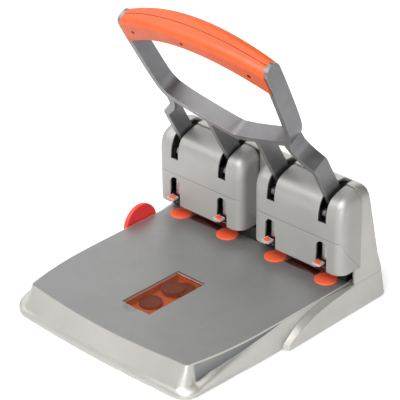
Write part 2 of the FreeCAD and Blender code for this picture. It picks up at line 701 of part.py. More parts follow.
def loop_band():
    outer_side = [(115.6, ARM_TOP), (115.0, 95.0), (112.6, 60.0), (109.0, 24.0), (104.5, 2.0),
                  (97.0, -12.0)]
    outer_low = [(97.0, -12.0), (80.0, -18.5), (52.0, -28.2), (25.0, -37.0), (0.0, BAND_LOW)]
    inner_side = [(107.6, ARM_TOP), (107.4, 95.0), (105.2, 60.0), (101.8, 26.0), (98.2, 8.0),
                  (91.0, -3.0)]
    inner_low = [(91.0, -3.0), (77.0, -11.0), (50.0, -21.2), (24.0, -29.6),
                 (0.0, BAND_LOW + BAND_T)]
    w0 = -BAND_W + 0.5
    w1 = 0.5
    right = slab([outer_side, outer_low, [(0.0, BAND_LOW), (0.0, BAND_LOW + BAND_T)],
                  list(reversed(inner_low)), list(reversed(inner_side)),
                  [(107.6, ARM_TOP), (115.6, ARM_TOP)]], w0, w1)
    tips = [e for e in right.Edges if abs(e.CenterOfMass.y - ARM_TOP) < 0.01
            and e.BoundBox.XLength > 7.0]
    right = right.makeFillet(9.0, tips)
    left = right.mirror(V(0, 0, 0), V(1, 0, 0))
    return fuse([right, left, grip_core()])


def grip_top(x):
    return 142.4 - x * x / 530.0


def grip_low(x):
    return 113.6 - x * x / 343.0


def grip_core():
    """Bar of the casting that the grip shells close round."""
    n = 12
    top = []
    for i in range(n + 1):
        x = CORE_HALF * (2.0 * i / n - 1.0)
        top.append((x, grip_top(x) - CORE_COVER))
    low = [(x, max(grip_low(x) + CORE_COVER, grip_top(x) - CORE_MAX))
           for x, _ in reversed(top)]
    return slab([top, [top[-1], low[0]], low, [low[-1], top[0]]], -BAND_W + 6.5, -5.5)


def flare(side):
    """Shoulder from the loop corner out to the outer leg."""
    out = leg_x(3) + LEG_T / 2
    leg_in = leg_x(3) - LEG_T / 2
    pts = [(97.5, -11.0), (98.5, -22.0), (103.5, -31.0), (out - 9.8, -39.5), (out - 1.8, -46.0),
           (out, -50.0), (out, -60.0), (leg_in, -60.0), (leg_in, -53.5), (leg_in - 7.8, -46.0),
           (98.0, -37.0), (92.5, -28.0), (88.0, -16.5)]
    wire = Part.makePolygon([V(side * x, s, -BAND_W + 0.5) for x, s in pts + pts[:1]])
    return Part.Face(wire).extrude(V(0, 0, BAND_W))


def leg_x(i):
    x = HOLE_X[i]
    return x - math.copysign(LEG_SHIFT, x)


def loop_point(y, h):
    """Machine (y, height above table) to (s, w) of the loop frame."""
    a = math.radians(LOOP_LEAN)
    dy = y - LOOP_Y
    dz = h - LOOP_H
    return (-math.sin(a) * dy + math.cos(a) * dz, -math.cos(a) * dy - math.sin(a) * dz)


def leg(i, top_s):
    x = leg_x(i)
    hs, hw = loop_point(HINGE_Y, HINGE_H)
    strip = box(x - LEG_T / 2, x + LEG_T / 2, hs, top_s, -BAND_W + 0.5, 0.5)
    hub = xcyl(x - LEG_T / 2 - 2.5, x + LEG_T / 2 + 2.5, hs, hw, 25.0)
    ns, nw = loop_point(NOSE_Y, NOSE_H)
    nose = xcyl(x - LEG_T / 2, x + LEG_T / 2, ns, nw, 10.0)
    ds = ns - hs
    dw = nw - hw
    size = math.hypot(ds, dw)
    ps = -dw / size
    pw = ds / size
    arm = [(hs + 9 * ps, hw + 9 * pw), (ns + 5 * ps, nw + 5 * pw),
           (ns - 5 * ps, nw - 5 * pw), (hs - 9 * ps, hw - 9 * pw)]
    wire = Part.makePolygon([V(x - LEG_T / 2, s, w) for s, w in arm + arm[:1]])
    link = Part.Face(wire).extrude(V(LEG_T, 0, 0))
    body = fuse([strip, hub, nose, link])
    return cut(body, [xcyl(x - 20, x + 20, hs, hw, BUSH_D),
                      xcyl(x - 20, x + 20, ns, nw, CRANK_PIN_D)])


def lever_frame():
    parts = [loop_band(), flare(1), flare(-1)]
    parts += [leg(0, -52.0), leg(1, -31.0), leg(2, -31.0), leg(3, -52.0)]
    body = fuse(parts)
    holes = [Part.makeCylinder(1.8, 30.0, V(x, screw_spot(x), -BAND_W), V(0, 0, 1))
             for x in GRIP_SCREWS]
    return to_loop(cut(body, holes))


def lever_bushes():
    hs, hw = loop_point(HINGE_Y, HINGE_H)
    out = []
    for i in range(4):
        x = leg_x(i)
        w = LEG_T / 2 + 2.5
        ring = xcyl(x - w, x + w, hs, hw, BUSH_D)
        out.append(ring.cut(xcyl(x - 20, x + 20, hs, hw, SHAFT_D + 2 * RUN_CLEAR)))
    return to_loop(Part.makeCompound(out))


def crank_pins():
    ns, nw = loop_point(NOSE_Y, NOSE_H)
    pins = [xcyl(leg_x(i) - 6.7, leg_x(i) + 6.7, ns, nw, CRANK_PIN_D) for i in range(4)]
    return to_loop(Part.makeCompound(pins))


def grip_half(front):
    """Lofted half shell; the split face is the middle plane of the band."""
    mid_w = -BAND_W / 2 + 0.5
    sign = 1 if front else -1
    wires = []
    for share in (-1.0, -0.88, -0.7, -0.47, -0.23, 0.0, 0.23, 0.47, 0.7, 0.88, 1.0):
        x = share * GRIP_HALF
        top = grip_top(x)
        low = grip_low(x)
        bulge = GRIP_LAP + (GRIP_FULL - GRIP_LAP) * (1 - share ** 2)
        r = min(9.5, 0.45 * (top - low))
        w_out = mid_w + sign * bulge
        q = r * (1 - math.sqrt(0.5))
        a = V(x, top, mid_w)
        b = V(x, top, w_out - sign * r)
        c = V(x, top - q, w_out - sign * q)
        d = V(x, top - r, w_out)
        e = V(x, low + r, w_out)
        f = V(x, low + q, w_out - sign * q)
        g = V(x, low, w_out - sign * r)
        h = V(x, low, mid_w)
        wires.append(Part.Wire([Part.makeLine(a, b), Part.Arc(b, c, d).toShape(),
                                Part.makeLine(d, e), Part.Arc(e, f, g).toShape(),
                                Part.makeLine(g, h), Part.makeLine(h, a)]))
    solid = Part.makeLoft(wires, True, False)
    return solid


def screw_spot(x):
    return 0.5 * (grip_top(x) + grip_low(x))


def grip_shells():
    tool = loop_band()
    front = cut(grip_half(True), [tool])
    rear = cut(grip_half(False), [tool])
    mid_w = -BAND_W / 2 + 0.5
    cuts = []
    for x in GRIP_SCREWS:
        s = screw_spot(x)
        cuts.append(Part.makeCylinder(2.6, 9.0, V(x, s, -2.5), V(0, 0, 1)))
        cuts.append(Part.makeCylinder(1.4, 30.0, V(x, s, mid_w - 8.0), V(0, 0, 1)))
    front = cut(front, cuts)
    rear = cut(rear, cuts[1::2])
    return to_loop(front), to_loop(rear)


def grip_screws():
    mid_w = -BAND_W / 2 + 0.5
    out = []
    for x in GRIP_SCREWS:
        s = screw_spot(x)
        head = Part.makeCylinder(2.4, 1.8, V(x, s, -2.5), V(0, 0, 1))
        stem = Part.makeCylinder(1.4, -2.0 - mid_w + 7.0, V(x, s, mid_w - 7.0), V(0, 0, 1))
        out.append(head.fuse(stem).removeSplitter())
    return to_loop(Part.makeCompound(out))


# ---------------------------------------------------------------------------
# Punches, springs, latches
# ---------------------------------------------------------------------------
def punch_pin(i):
    zt = TABLE_Z
    x = HOLE_X[i]
    top = NOSE_H - HEAD_DROP - 4.0
    body = cyl(x, 0, zt + TIP_REST, zt + top, PUNCH_D)
    bore = cyl(x, 0, zt + TIP_REST - 1, zt + TIP_REST + 22.0, PUNCH_BORE)
    body = body.cut(bore)
    rim = Part.makeCone(PUNCH_D / 2 + 0.01, PUNCH_BORE / 2, 1.2, V(x, 0, zt + TIP_REST + 1.21),
                        V(0, 0, -1))
    ring = cyl(x, 0, zt + TIP_REST - 0.5, zt + TIP_REST + 1.2, PUNCH_D + 2)
    return body.cut(ring.cut(rim))


def punch_head(i):
    zt = TABLE_Z
    x = HOLE_X[i]
    lx = leg_x(i)
    z_pin = zt + NOSE_H
    lo = z_pin - HEAD_DROP - 4.0
    body = box(lx - 6.9, lx + 6.9, -6.2, 6.2, lo, z_pin + 5.0)
    gap = box(lx - LEG_T / 2 - 0.5, lx + LEG_T / 2 + 0.5, -7, 7, z_pin - HEAD_DROP, z_pin + 6)
    r = CRANK_PIN_D / 2 + 0.35
    slot = box(lx - 8, lx + 8, NOSE_Y - 1.75, NOSE_Y + 0.3, z_pin - r, z_pin + r)
    ends = [xcyl(lx - 8, lx + 8, NOSE_Y - 1.75, z_pin, 2 * r),
            xcyl(lx - 8, lx + 8, NOSE_Y + 0.3, z_pin, 2 * r)]
    body = cut(body, [gap, slot] + ends)
    cup = cyl(x, 0, lo - 2.0, lo + 2.0, 9.0)
    body = fuse([body, cup])
    return cut(body, [cyl(x, 0, lo - 5, lo + 0.0, PUNCH_D)])


def spring(i):
    zt = TABLE_Z
    x = HOLE_X[i]
    z0 = zt + SPRING_SEAT + SPRING_WIRE / 2 + 0.05
    z1 = zt + NOSE_H - HEAD_DROP - 4.0 - 2.0 - SPRING_WIRE / 2 - 0.05
    pitch = (z1 - z0) / SPRING_TURNS
    helix = Part.makeHelix(pitch, z1 - z0, SPRING_D / 2)
    helix.translate(V(x, 0, z0))
    along = V(0, math.pi * SPRING_D, pitch)
    ring = Part.makeCircle(SPRING_WIRE / 2, V(x + SPRING_D / 2, 0, z0), along)
    return Part.Wire(helix.Edges).makePipeShell([Part.Wire([ring])], True, True)


def latch(i):
    zt = TABLE_Z
    x = HOLE_X[i]
    z0 = zt + 25.5
    z1 = zt + 28.5
    pad = box(x - 7.7, x + 3.8, -18.0, -8.0, z0, z1)
    verticals = [e for e in pad.Edges if e.BoundBox.ZLength > 2.9 and e.CenterOfMass.y < -17]
    pad = pad.makeFillet(1.5, verticals)
    dish = box(x - 6.2, x + 2.3, -16.6, -9.2, z1 - 0.8, z1 + 1)
    neck = box(x - 7.7, x - 6.45, -9.0, 5.0, z0, z1)
    tongue = box(x - 12.9, x - 6.45, -1.5, 5.0, z0, z1)
    return fuse([pad.cut(dish), neck, tongue])


# ---------------------------------------------------------------------------
# Side guide, accessory box, drawer, tray, feet, screws
# ---------------------------------------------------------------------------
def guide_disc():
    x1 = GUIDE_X
    body = xcyl(x1 - GUIDE_T, x1, GUIDE_Y, GUIDE_Z, 2 * GUIDE_R)
    rims = [e for e in body.Edges if e.Curve.TypeId == "Part::GeomCircle"]
    body = body.makeFillet(1.6, rims)
    pocket = xcyl(x1 - 1.0, x1 + 1, GUIDE_Y, GUIDE_Z, 2 * GUIDE_R - 9.0)
    body = body.cut(pocket)
    hole = box(x1 - BAR_GRIP, x1 + 1, GUIDE_Y - BAR_W / 2, GUIDE_Y + BAR_W / 2, BAR_Z, BAR_Z + BAR_T)
    return body.cut(hole)


def guide_bar():
    y0 = GUIDE_Y - BAR_W / 2
    y1 = GUIDE_Y + BAR_W / 2
    bar = box(GUIDE_X - BAR_GRIP, BAR_END, y0, y1, BAR_Z, BAR_Z + BAR_T)
    stop = box(BAR_END - 6.0, BAR_END, y0, y1, BAR_Z + BAR_T - 0.5, BAR_Z + BAR_T + 3.5)
    return fuse([bar, stop])


def accessory_tray():
    z1 = TABLE_Z - PLATE_T
    outer = window_box(1.5, SPARE_FLOOR - 1.6, z1 - 0.05)
    inner = window_box(-1.0, SPARE_FLOOR, z1 + 1)
    y_hinge = WINDOW_Y + WINDOW_L / 2 - 1.8
    relief = box(-WINDOW_W / 2 - 3.4, WINDOW_W / 2 + 3.4, y_hinge - 2.2, y_hinge + 2.2,
                 z1 - 1.2, z1 + 2)
    return cut(outer, [inner, relief])


def spare_discs():
    """Three spares: one alone, two stacked a little out of line."""
    z = SPARE_FLOOR + 0.05
    near = WINDOW_Y - WINDOW_L / 2
    far = WINDOW_Y + WINDOW_L / 2
    left = -WINDOW_W / 2 + SPARE_SIDE
    right = WINDOW_W / 2 - SPARE_SIDE
    spots = [(left, near + 31.0, z), (right - 5.0, far - 15.6, z),
             (left + 2.0, far - 26.5, z + 4.0)]
    return Part.makeCompound([cyl(x, y, h, h + 3.95, DISC_D) for x, y, h in spots])


def lid_axis():
    return WINDOW_Y + WINDOW_L / 2 - 1.8, TABLE_Z - 1.9


def accessory_lid():
    y, z = lid_axis()
    x1 = WINDOW_W / 2
    y0 = WINDOW_Y - WINDOW_L / 2
    body = box(-x1, x1, y0, y, TABLE_Z - LID_T, TABLE_Z)
    corners = [e for e in body.Edges if e.BoundBox.ZLength > LID_T - 0.1
               and e.CenterOfMass.y < y0 + 1 and e.CenterOfMass.x > 0]
    body = body.makeFillet(4.0, corners)
    body = body.fuse(xcyl(-x1, x1, y, z, 3.6)).removeSplitter()
    frame = box(-x1 + 3, x1 - 3, y0 + 3, y - 4, TABLE_Z - LID_T - 1, TABLE_Z - LID_T + 0.8)
    return cut(body, [xcyl(-x1 - 1, x1 + 1, y, z, LID_PIN_D + 2 * RUN_CLEAR), frame])


def lid_pin():
    y, z = lid_axis()
    return xcyl(-WINDOW_W / 2 - PIN_SEAT, WINDOW_W / 2 + PIN_SEAT, y, z, LID_PIN_D)


def chip_drawer():
    y1 = 72.2
    z0 = 4.9
    outer = box(-DRAWER_HALF, DRAWER_HALF, DRAWER_Y0, y1, z0, DRAWER_TOP)
    inner = box(-DRAWER_HALF + 1.8, DRAWER_HALF - 1.8, DRAWER_Y0 + 1.8, y1 - 2.2,
                z0 + 1.8, DRAWER_TOP + 1)
    pull = xcyl(-30.0, 30.0, y1 + 5.5, DRAWER_TOP - 9.0, 15.0)
    body = outer.cut(inner)
    return body.cut(pull)


def base_tray():
    z0 = FOOT_DROP + 0.3
    z1 = z0 + TRAY_T
    outline = table_wire(z0, SHELL_T + TRAY_CLEAR, HOLE_EDGE + 2.0,
                         lean=FRONT_LEAN - TRAY_SETBACK)
    main = Part.Face(outline).extrude(V(0, 0, TRAY_T))
    neck = REAR_HALF - FIN_INSET - 1.0
    more = [main, box(-neck, neck, HOLE_EDGE, FIN_END_Y + TRAY_CLEAR, z0, z1),
            box(-TRAY_HALF, TRAY_HALF, FIN_END_Y + TRAY_CLEAR, REAR_BACK_Y - 7.0, z0, z1)]
    for side in (-1, 1):
        for x in FRAME_SCREW_X:
            more.append(cyl(side * x, FRAME_SCREW_Y, z0 + 1, 6.3, 12.0))
        for y in BASE_SCREW_Y:
            more.append(cyl(side * BASE_SCREW_X, y, z0 + 1, TABLE_Z - PLATE_T, 9.0))
    for y in (WINDOW_Y - 30.0, WINDOW_Y + 27.0):
        more.append(box(-24.0, 24.0, y, y + 3.0, z0 + 1, SPARE_FLOOR - 1.65))
    wide = BAR_W / 2 + 3.0
    close = BAR_W / 2 + 0.3
    for x in (GUIDE_X + 17.5, BAR_END - 14.0):
        more.append(box(x - 3, x + 3, GUIDE_Y - wide, GUIDE_Y + wide, z0 + 1, BAR_Z - 0.2))
        more.append(box(x - 3, x + 3, GUIDE_Y - wide, GUIDE_Y - close, z0 + 1, BAR_Z + 8.0))
        more.append(box(x - 3, x + 3, GUIDE_Y + close, GUIDE_Y + wide, z0 + 1, BAR_Z + 8.0))
    tray = fuse(more)
    cuts = []
    for side in (-1, 1):
        for x in FRAME_SCREW_X:
            cuts.append(cyl(side * x, FRAME_SCREW_Y, 0, 8, 4.4))
        for y in BASE_SCREW_Y:
            cuts.append(cyl(side * BASE_SCREW_X, y, 0, TABLE_Z - PLATE_T - 6, 3.0))
            cuts.append(cyl(side * BASE_SCREW_X, y, 0, 3.3, 7.0))
    return cut(tray, cuts)


def rubber_feet():
    out = []
    for x, y in [(side * FOOT_X, y) for y in FOOT_Y for side in (-1, 1)]:
        foot = cyl(x, y, 0.0, FOOT_DROP + 0.3, 22.0)
        low = [e for e in foot.Edges if abs(e.CenterOfMass.z) < 0.01
               and e.Curve.TypeId == "Part::GeomCircle"]
        out.append(foot.makeFillet(0.6, low))
    return Part.makeCompound(out)


def frame_screws():
    out = []
    for side in (-1, 1):
        for x in FRAME_SCREW_X:
            head = cyl(side * x, FRAME_SCREW_Y, 9.3, 12.3, 8.0)
            stem = cyl(side * x, FRAME_SCREW_Y, 2.4, 9.5, 4.4)
            socket = cyl(side * x, FRAME_SCREW_Y, 10.8, 13.0, 3.5)
            out.append(head.fuse(stem).cut(socket).removeSplitter())
    return Part.makeCompound(out)


def base_screws():
    out = []
    for side in (-1, 1):
        for y in BASE_SCREW_Y:
            head = cyl(side * BASE_SCREW_X, y, 2.4, 3.3, 6.4)
            stem = cyl(side * BASE_SCREW_X, y, 3.0, TABLE_Z - PLATE_T - 7, 3.0)
            out.append(head.fuse(stem).removeSplitter())
    return Part.makeCompound(out)


# ---------------------------------------------------------------------------
def main():
    os.makedirs("parts", exist_ok=True)
    save("table_shell", table_shell())
    save("table_plate", table_plate())
    save("rear_body", rear_body())
    for name, side in (("left", -1), ("right", 1)):
        upper, lower = covers(side)
        save(name + "_upper_cover", upper)
        save(name + "_lower_cover", lower)
        save(name + "_frame", punch_frame(side))
    save("main_shaft", main_shaft())
    save("shaft_clips", shaft_clips())
    save("anvil_plates", anvil_plates())
    save("backstop", backstop())
    save("throat_liner", throat_liner())
    save("base_tray", base_tray())
    save("rubber_feet", rubber_feet())
    save("frame_screws", frame_screws())
    save("base_screws", base_screws())
    save("accessory_tray", accessory_tray())
    save("spare_discs", spare_discs())
    save("accessory_lid", accessory_lid())
    save("lid_pin", lid_pin())
    save("chip_drawer", chip_drawer())
    save("guide_disc", guide_disc())
    save("guide_bar", guide_bar())
    save("lever_frame", lever_frame())
    save("lever_bushes", lever_bushes())
    save("crank_pins", crank_pins())
    front, rear = grip_shells()
    save("grip_front", front)
    save("grip_rear", rear)
    save("grip_screws", grip_screws())
    for i in range(4):
        n = str(i + 1)
        save("punch_pin_" + n, punch_pin(i))
        save("punch_head_" + n, punch_head(i))
        save("punch_sleeve_" + n, sleeve(HOLE_X[i]))
        save("return_spring_" + n, spring(i))
        save("latch_" + n, latch(i))
        save("cutting_disc_" + n, cutting_disc(HOLE_X[i]))


main()
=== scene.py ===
import math

import bpy
import bmesh
from mathutils import Matrix, Vector

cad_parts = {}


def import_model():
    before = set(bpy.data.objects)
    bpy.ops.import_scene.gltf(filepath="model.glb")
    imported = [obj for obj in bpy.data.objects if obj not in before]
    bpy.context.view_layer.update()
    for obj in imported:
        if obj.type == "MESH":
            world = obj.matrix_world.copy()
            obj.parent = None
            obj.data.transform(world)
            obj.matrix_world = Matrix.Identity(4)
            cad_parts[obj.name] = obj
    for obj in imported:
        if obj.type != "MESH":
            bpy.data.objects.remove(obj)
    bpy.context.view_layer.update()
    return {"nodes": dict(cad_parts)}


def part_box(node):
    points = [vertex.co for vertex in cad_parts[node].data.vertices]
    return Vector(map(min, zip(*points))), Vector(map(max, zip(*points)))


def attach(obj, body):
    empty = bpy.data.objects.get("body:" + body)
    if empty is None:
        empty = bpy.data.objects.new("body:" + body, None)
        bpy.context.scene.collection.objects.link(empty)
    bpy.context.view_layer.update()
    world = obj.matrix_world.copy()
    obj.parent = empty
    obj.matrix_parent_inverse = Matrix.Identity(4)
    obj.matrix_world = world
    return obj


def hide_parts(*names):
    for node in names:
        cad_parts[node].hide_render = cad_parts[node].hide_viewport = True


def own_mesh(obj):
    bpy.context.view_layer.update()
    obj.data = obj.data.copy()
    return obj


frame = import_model()

MM = 0.001
NODES = frame["nodes"]
STATIONS = (1, 2, 3, 4)                # the punches, numbered from the left
MODULES = ((1, 2), (3, 4))             # the two punches of each module

# ---------------------------------------------------------------------------
# Camera: place in metres, angles, and lens in pixels of the square picture
# ---------------------------------------------------------------------------
CAM_PLACE = Vector((1.31727, -1.33985, 1.14833))
CAM_AZIMUTH = math.radians(44.348)
CAM_DOWN = math.radians(28.292)
CAM_ROLL = math.radians(-0.864)
CAM_FAR = 50.0
IMAGE_PX = 400
FOCAL_PX = 1831.5
SENSOR_MM = 36.0


# ---------------------------------------------------------------------------
# Colours, as linear values
# ---------------------------------------------------------------------------
def srgb(red, green, blue):
    """A colour given as 0 to 255 screen values."""
    linear = []
    for value in (red, green, blue):
        share = value / 255.0
        linear.append(share / 12.92 if share <= 0.04045 else ((share + 0.055) / 1.055) ** 2.4)
    return tuple(linear) + (1.0,)


def scaled(colour, share):
    """A colour made darker or lighter by a factor."""
    return tuple(value * share for value in colour[:3]) + (1.0,)


WHITE = (1.0, 1.0, 1.0, 1.0)
COVER_SHADE = srgb(14, 15, 16)         # painted shade deep inside the silver covers
ORANGE_SHADE = srgb(30, 18, 14)        # painted shade deep in the holes of orange plastic
HANDLE_SHADE = srgb(16, 16, 17)        # painted shade where the lever's legs enter the covers
FLANK_PAINTED_SHADE = srgb(106, 109, 112)       # painted shade on the recessed flanks of the table

# Bands of a noise, or of ambient occlusion, that are spread over a full range
CLOUD_BAND = (0.35, 0.65)
GRAIN_BAND = (0.3, 0.7)
SHELL_DEPTH_BAND = (0.35, 0.8)
HOLE_DEPTH_BAND = (0.25, 0.55)

LID_ALPHA = 0.07
LID_TINTS = (srgb(226, 92, 34), srgb(238, 108, 46))


# ---------------------------------------------------------------------------
# Material building blocks
# ---------------------------------------------------------------------------
class Paint:
    """One procedural material: its nodes are laid out as they are asked for."""

    def __init__(self, name):
        self.material = bpy.data.materials.new(name)
        self.material.use_nodes = True
        self.tree = self.material.node_tree
        self.shader = self.tree.nodes["Principled BSDF"]
        self.coords = self.tree.nodes.new("ShaderNodeTexCoord").outputs["Object"]

    def link(self, source, socket):
        self.tree.links.new(source, socket)

    def feed(self, value, socket):
        """Gives a socket a constant or the output of another node."""
        if isinstance(value, (float, tuple)):
            socket.default_value = value
        else:
            self.link(value, socket)

    def set(self, **values):
        """Constants for the shader, named as its sockets with _ for a space."""
        for key, value in values.items():
            self.shader.inputs[key.replace("_", " ")].default_value = value

    def stretched(self, stretch):
        """The object's own coordinates, scaled along each axis if asked for."""
        if stretch is None:
            return self.coords
        node = self.tree.nodes.new("ShaderNodeMapping")
        node.inputs["Scale"].default_value = stretch
        self.link(self.coords, node.inputs["Vector"])
        return node.outputs["Vector"]

    def noise(self, scale, detail=3.0, rough=0.5, stretch=None):
        """Fractal noise over the object."""
        node = self.tree.nodes.new("ShaderNodeTexNoise")
        node.inputs["Scale"].default_value = scale
        node.inputs["Detail"].default_value = detail
        node.inputs["Roughness"].default_value = rough
        self.link(self.stretched(stretch), node.inputs["Vector"])
        return node.outputs["Fac"]

    def ramp(self, source, band, start=0.0, end=1.0):
        """Spreads a band (low, high) of a source over start..end."""
        node = self.tree.nodes.new("ShaderNodeMapRange")
        node.inputs["From Min"].default_value = band[0]
        node.inputs["From Max"].default_value = band[1]
        node.inputs["To Min"].default_value = start
        node.inputs["To Max"].default_value = end
        self.link(source, node.inputs["Value"])
        return node.outputs["Result"]

    def mix(self, factor, first, second):
        """The first colour at factor 0 and the second at 1."""
        node = self.tree.nodes.new("ShaderNodeMix")
        node.data_type = "RGBA"
        self.link(factor, node.inputs["Factor"])
        self.feed(first, node.inputs["A"])
        self.feed(second, node.inputs["B"])
        return node.outputs["Result"]

    def maths(self, operation, first, second=0.0):
        """One operation on two values, of which the second may be a constant."""
        node = self.tree.nodes.new("ShaderNodeMath")
        node.operation = operation
        self.feed(first, node.inputs[0])
        self.feed(second, node.inputs[1])
        return node.outputs[0]

    def axes(self):
        """The object's own x, y and z."""
        node = self.tree.nodes.new("ShaderNodeSeparateXYZ")
        self.link(self.coords, node.inputs["Vector"])
        return node.outputs["X"], node.outputs["Y"], node.outputs["Z"]

    def stops(self, factor, rows):
        """Straight-line reading of a list of (place, value) pairs, both from 0 to 1."""
        node = self.tree.nodes.new("ShaderNodeValToRGB")
        elements = node.color_ramp.elements
        while len(elements) < len(rows):
            elements.new(0.5)
        for element, (place, value) in zip(elements, rows):
            element.position = place
            element.color = (value, value, value, 1.0)
        self.link(factor, node.inputs["Fac"])
        return node.outputs["Color"]

    def with_painted_shade(self, body, inside, band, shade):
        """Painted shade: turns a colour into the shade where holes of that size, in metres, close
        it in.
        """
        node = self.tree.nodes.new("ShaderNodeAmbientOcclusion")
        node.inputs["Distance"].default_value = inside
        return self.mix(self.ramp(node.outputs["AO"], band), shade, body)

    def mottled(self, noise, band, base, darkest):
        """A colour that the noise varies between its darkest share and itself."""
        return self.mix(self.ramp(noise, band), scaled(base, darkest), base)

    def colour(self, source):
        self.link(source, self.shader.inputs["Base Color"])

    def roughness(self, noise, least, most):
        """Lets a noise vary the roughness."""
        self.link(self.ramp(noise, GRAIN_BAND, least, most), self.shader.inputs["Roughness"])

    def bump(self, height, strength, distance):
        """Fine relief; distance is its depth in metres."""
        node = self.tree.nodes.new("ShaderNodeBump")
        node.inputs["Strength"].default_value = strength
        node.inputs["Distance"].default_value = distance
        self.link(height, node.inputs["Height"])
        self.link(node.outputs["Normal"], self.shader.inputs["Normal"])


# The crease of the table's lip along its right side, as (y, height), in millimetres
CREASE_ROWS = ((-141.2, 13.2), (-119.7, 19.2), (-93.7, 23.4), (-53.7, 28.8), (-9.7, 33.8))
LEFT_RISE_MM = 6.0                     # the crease lies this much higher on the left side
CENTRE_FADE_MM = 1.0                   # and changes height within this of the middle
CREASE_FADE_MM = 0.6                   # the flank's painted shade fades in over this height
RIM_MM = 36.0                          # the top of the table
RIM_BAND_MM = (1.9, 1.3)               # the shade fades out this far below the rim
FLANK_X_MM = 122.0                     # the flanks lie further out than this
FLANK_FADE_MM = 1.0
CORNER_BAND_MM = (-1.0, 2.0)           # they fade in this far behind the front corner
FLANK_DEEP_MM = 14.0                   # height over the crease where the shade is weakest
FLANK_WEAKEST = 0.72


def flank_painted_shade(p):
    """Painted shade mask: up to 1 in the recessed flanks between the table's rim and the crease of
    its lip.
    """
    x, y, z = p.axes()
    first, last = CREASE_ROWS[0][0], CREASE_ROWS[-1][0]
    along = p.ramp(y, (first * MM, last * MM))
    rows = [((y_mm - first) / (last - first), z_mm / RIM_MM) for y_mm, z_mm in CREASE_ROWS]
    crease = p.maths("MULTIPLY", p.stops(along, rows), RIM_MM * MM)
    rise = p.ramp(x, (-CENTRE_FADE_MM * MM, CENTRE_FADE_MM * MM), LEFT_RISE_MM * MM, 0.0)
    above = p.maths("SUBTRACT", z, p.maths("ADD", crease, rise))
    over_crease = p.ramp(above, (0.0, CREASE_FADE_MM * MM))
    below_rim = p.ramp(z, [(RIM_MM - drop) * MM for drop in RIM_BAND_MM], 1.0, 0.0)
    behind_corner = p.ramp(y, [(first + back) * MM for back in CORNER_BAND_MM])
    outside = p.ramp(p.maths("ABSOLUTE", x), (FLANK_X_MM * MM, (FLANK_X_MM + FLANK_FADE_MM) * MM))
    shade = p.maths("MULTIPLY", p.maths("MULTIPLY", over_crease, below_rim),
                    p.maths("MULTIPLY", behind_corner, outside))
    return p.maths("MULTIPLY", shade, p.ramp(above, (0.0, FLANK_DEEP_MM * MM), 1.0, FLANK_WEAKEST))


def painted_shell(name, rgb, metallic, rough, flanks=False, inside=0.0):
    """Silver-lacquered moulded plastic: fine texture and faint clouding.
    inside darkens what lies that deep in the machine, in metres, as painted shade."""
    p = Paint(name)
    clouds = p.noise(scale=14.0, detail=4.0, rough=0.6)
    body = p.mottled(clouds, CLOUD_BAND, srgb(*rgb), darkest=0.93)
    # Painted shade on the table's recessed flanks, darkest at the crease
    if flanks:
        body = p.mix(flank_painted_shade(p), body, FLANK_PAINTED_SHADE)
    if inside:
        body = p.with_painted_shade(body, inside, SHELL_DEPTH_BAND, COVER_SHADE)
    p.colour(body)
    p.roughness(p.noise(scale=60.0, detail=4.0, rough=0.6), least=rough - 0.04, most=rough + 0.05)
    p.set(Metallic=metallic)
    p.bump(p.noise(scale=2600.0, detail=2.0, rough=0.5), strength=0.10, distance=0.15 * MM)
    return p.material


def moulded(name, rgb, rough, coat=0.0, inside=0.0):
    """Through-coloured moulded plastic; inside darkens holes of that size, in metres, as painted
    shade.
    """
    p = Paint(name)
    clouds = p.noise(scale=25.0, detail=4.0, rough=0.6)
    body = p.mottled(clouds, CLOUD_BAND, srgb(*rgb), darkest=0.90)
    if inside:
        body = p.with_painted_shade(body, inside, HOLE_DEPTH_BAND, ORANGE_SHADE)
    p.colour(body)
    p.roughness(p.noise(scale=80.0, detail=3.0, rough=0.6), least=rough - 0.05, most=rough + 0.06)
    p.set(Coat_Weight=coat, Coat_Roughness=0.25)
    p.bump(p.noise(scale=1800.0, detail=2.0, rough=0.5), strength=0.12, distance=0.1 * MM)
    return p.material


def machined(name, rgb, rough, stretch=None, metallic=1.0):
    """Turned, drawn or rolled steel with fine tool marks, finer along the stretched axes."""
    p = Paint(name)
    marks = p.noise(scale=900.0, detail=3.0, rough=0.6, stretch=stretch)
    p.colour(p.mottled(marks, GRAIN_BAND, srgb(*rgb), darkest=0.8))
    p.roughness(marks, least=rough - 0.06, most=rough + 0.08)
    p.set(Metallic=metallic)
    p.bump(marks, strength=0.12, distance=0.08 * MM)
    return p.material


def cast_metal(name, rgb, rough, inside):
    """Satin-lacquered die casting, with painted shade where it lies that deep in the machine."""
    p = Paint(name)
    clouds = p.noise(scale=18.0, detail=5.0, rough=0.65)
    body = p.mottled(clouds, CLOUD_BAND, srgb(*rgb), darkest=0.86)
    p.colour(p.with_painted_shade(body, inside, SHELL_DEPTH_BAND, HANDLE_SHADE))
    p.roughness(p.noise(scale=120.0, detail=4.0, rough=0.6), least=rough - 0.05, most=rough + 0.07)
    p.set(Metallic=0.85)
    p.bump(p.noise(scale=700.0, detail=3.0, rough=0.6), strength=0.10, distance=0.2 * MM)
    return p.material


def clear_orange(name):
    """Tinted see-through lid, as thin clear plastic."""
    p = Paint(name)
    p.colour(p.mix(p.ramp(p.noise(scale=30.0), GRAIN_BAND), *LID_TINTS))
    p.roughness(p.noise(scale=140.0), least=0.14, most=0.24)
    p.set(Alpha=LID_ALPHA, Specular_IOR_Level=0.25)
    p.bump(p.noise(scale=900.0), strength=0.05, distance=0.1 * MM)
    return p.material


